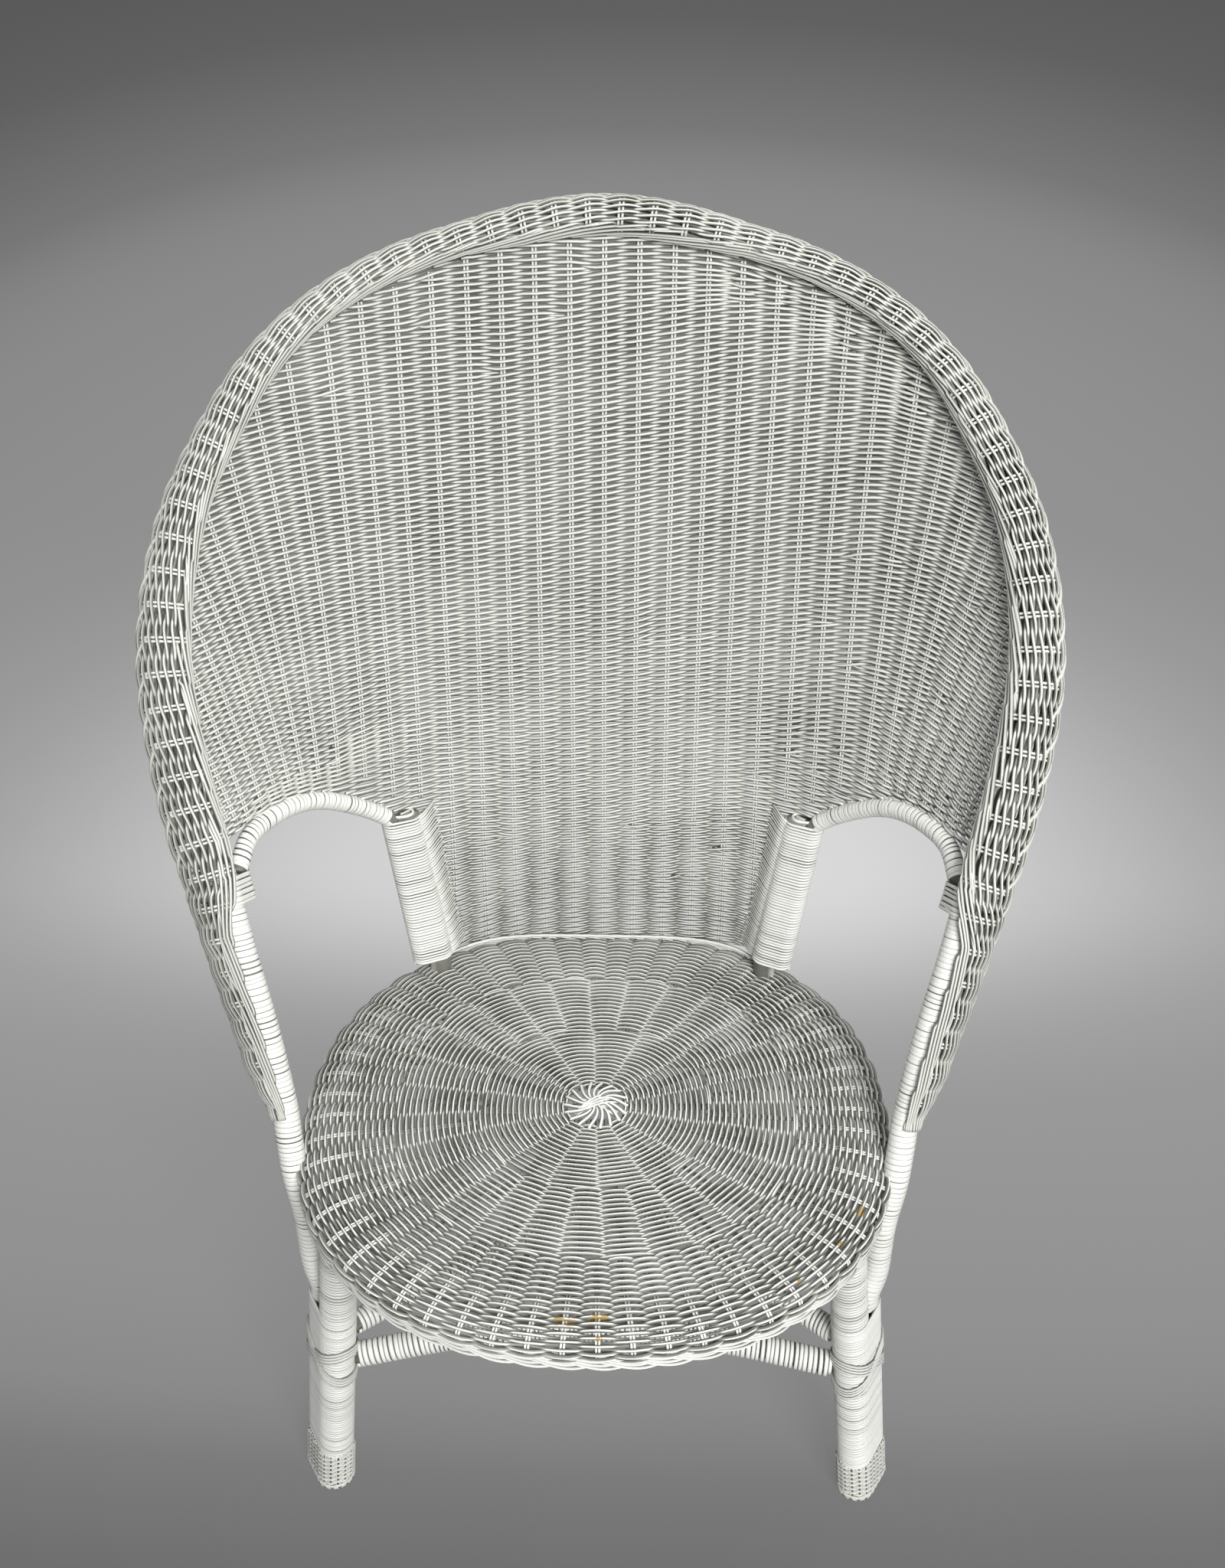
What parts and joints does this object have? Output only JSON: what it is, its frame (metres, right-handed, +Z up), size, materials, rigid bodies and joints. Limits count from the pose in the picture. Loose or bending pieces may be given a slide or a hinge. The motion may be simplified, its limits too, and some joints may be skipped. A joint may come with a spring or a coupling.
{
  "type": "fan-back wicker armchair",
  "caption": "Painted wicker armchair with a tall curled fan back, rolled hoop border, open arched arm sides, a round woven seat and cane-wrapped legs.",
  "frame": {"origin": "on the floor, under the middle of the chair's length and width", "axes": "+Z up, +Y towards the back of the chair, +X towards the side that is on the right when the chair is seen from the front"},
  "size_m": [0.791, 0.6432, 1.1511],
  "materials": {
    "painted_weave": "gloss off-white paint brushed over woven reed, darker in the gaps",
    "painted_cane": "gloss off-white paint over flat wrapped cane",
    "painted_pole": "satin off-white paint over round rattan poles",
    "painted_sock": "satin off-white paint over stitched foot wrapping, worn at the floor"
  },
  "bodies": {
    "root": {"hoop_rod": "painted_pole", "front_leg_pole_right": "painted_pole", "front_leg_pole_left": "painted_pole", "front_leg_wrap_right": "painted_cane", "front_leg_wrap_left": "painted_cane", "front_foot_sock_right": "painted_sock", "front_foot_sock_left": "painted_sock", "rear_leg_pole_right": "painted_pole", "rear_leg_pole_left": "painted_pole", "rear_leg_wrap_right": "painted_cane", "rear_leg_wrap_left": "painted_cane", "rear_foot_sock_right": "painted_sock", "rear_foot_sock_left": "painted_sock", "back_post_wrap_right": "painted_cane", "back_post_wrap_left": "painted_cane", "arm_arch_rod_right": "painted_pole", "arm_arch_rod_left": "painted_pole", "arm_arch_wrap_right": "painted_cane", "arm_arch_wrap_left": "painted_cane", "arm_post_wrap_right": "painted_cane", "arm_post_wrap_left": "painted_cane", "arm_border_right": "painted_weave", "arm_border_left": "painted_weave", "back_border": "painted_weave", "back_panel": "painted_weave", "back_foot_braid": "painted_weave", "seat_weave": "painted_weave", "seat_border": "painted_weave", "seat_ring": "painted_pole", "seat_bar_front": "painted_pole", "seat_bar_rear": "painted_pole", "seat_knot": "painted_weave", "front_stretcher": "painted_pole", "front_stretcher_wrap": "painted_cane", "rear_stretcher": "painted_pole", "rear_stretcher_wrap": "painted_cane", "brace_right": "painted_pole", "brace_right_wrap": "painted_cane", "brace_left": "painted_pole", "brace_left_wrap": "painted_cane"}
  },
  "joints": []
}
